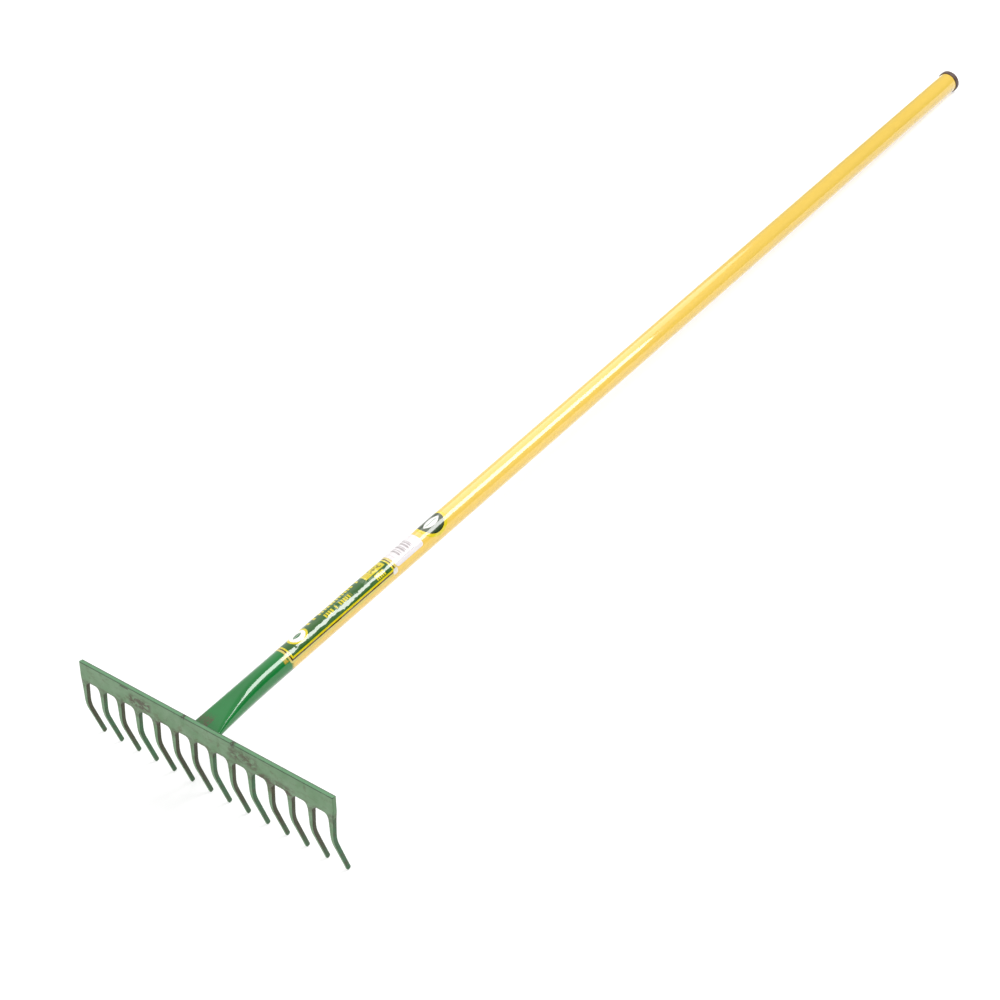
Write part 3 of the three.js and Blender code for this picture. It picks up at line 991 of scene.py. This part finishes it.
# ---------------------------------------------------------------- floor, light
FLOOR_HALF = 9.0
FLOOR_BELOW = 0.0002                   # the floor lies this far under the CAD's lowest point
PANEL_DISTANCE = 2.9                   # of the two long panels from the tube's line

floor_mesh = bpy.data.meshes.new("floor")
corners = [(sx * FLOOR_HALF, sy * FLOOR_HALF, 0)
           for sx, sy in ((-1, -1), (1, -1), (1, 1), (-1, 1))]
floor_mesh.from_pydata(corners, [], [(0, 1, 2, 3)])
floor = bpy.data.objects.new("floor", floor_mesh)
bpy.context.scene.collection.objects.link(floor)
floor.location.z = cad_lo[2] - FLOOR_BELOW
floor_nodes = Nodes("floor_pale")
# the floor gives off some light, so that it shows as the photo's plain white
for socket, value in (
    ("Base Color", (0.5, 0.5, 0.5, 1)), ("Roughness", 0.9), ("Specular IOR Level", 0.0),
    ("Emission Color", (1, 1, 1, 1)), ("Emission Strength", 0.6),
):
    floor_nodes.shader.inputs[socket].default_value = value
dress(floor, floor_nodes.material)


def panel(name, where, turn, width, length, power):
    """A rectangular softbox; unturned it faces down, width along X and length along Y."""
    data = bpy.data.lights.new(name, "AREA")
    data.shape = "RECTANGLE"
    data.size, data.size_y = width, length
    data.energy = power
    obj = bpy.data.objects.new(name, data)
    bpy.context.scene.collection.objects.link(obj)
    obj.matrix_world = Matrix.Translation(where) @ turn


def leaning_panel(name, degrees, y, width, length, power):
    """A panel that leans sideways over the handle and faces the tube's line."""
    lean = math.radians(degrees)
    where = (PANEL_DISTANCE * math.sin(lean), y, PANEL_DISTANCE * math.cos(lean))
    panel(name, where, Matrix.Rotation(lean, 4, "Y"), width, length, power)


leaning_panel("streak", 27.5, 1.45, 1.6, 1.9, 95)     # the white streak along the tube
leaning_panel("left", -20, 2.15, 3.6, 1.6, 35)        # the broad sheen on its left side
front_at = Vector((0.6, -3.2, 1.6))
front_turn = (Vector((0, -0.5, 0)) - front_at).to_track_quat("-Z", "Y").to_matrix().to_4x4()
panel("front", front_at, front_turn, 1.6, 1.2, 14)    # on the front of the bar and teeth

world = bpy.data.worlds.new("studio")
world.use_nodes = True
tree = world.node_tree
direction = tree.nodes.new("ShaderNodeTexCoord")
split = tree.nodes.new("ShaderNodeSeparateXYZ")
tree.links.new(direction.outputs["Generated"], split.inputs[0])


def world_step(axis, start, end, low, high):
    """Runs smoothly from low to high as the direction's axis goes from start to end."""
    node = tree.nodes.new("ShaderNodeMapRange")
    node.interpolation_type = "SMOOTHSTEP"
    node.inputs["From Min"].default_value = start
    node.inputs["From Max"].default_value = end
    node.inputs["To Min"].default_value = low
    node.inputs["To Max"].default_value = high
    tree.links.new(split.outputs[axis], node.inputs["Value"])
    return node.outputs[0]


def world_math(operation, a, b):
    node = tree.nodes.new("ShaderNodeMath")
    node.operation = operation
    for socket, value in zip(node.inputs, (a, b)):
        if hasattr(value, "is_output"):
            tree.links.new(value, socket)
        else:
            socket.default_value = value
    return node.outputs[0]


# a studio with a lit wall at -X, a dark side at +X and a dimmer far end
lit = world_step(0, -0.5, -0.2, 0.85, 0.55)
lit = world_math("MULTIPLY", lit, world_step(1, 0.55, 0.72, 1.0, 0.4))
dark = world_math("MULTIPLY", world_step(0, 0.2, 0.5, 0.0, 0.94),
                  world_step(2, 0.3, 0.5, 1.0, 0.0))
lit = world_math("MULTIPLY", lit, world_math("SUBTRACT", 1.0, dark))
tree.links.new(lit, tree.nodes["Background"].inputs[0])
tree.nodes["Background"].inputs[1].default_value = 1.0
bpy.context.scene.world = world
bpy.context.scene.view_settings.view_transform = "Standard"
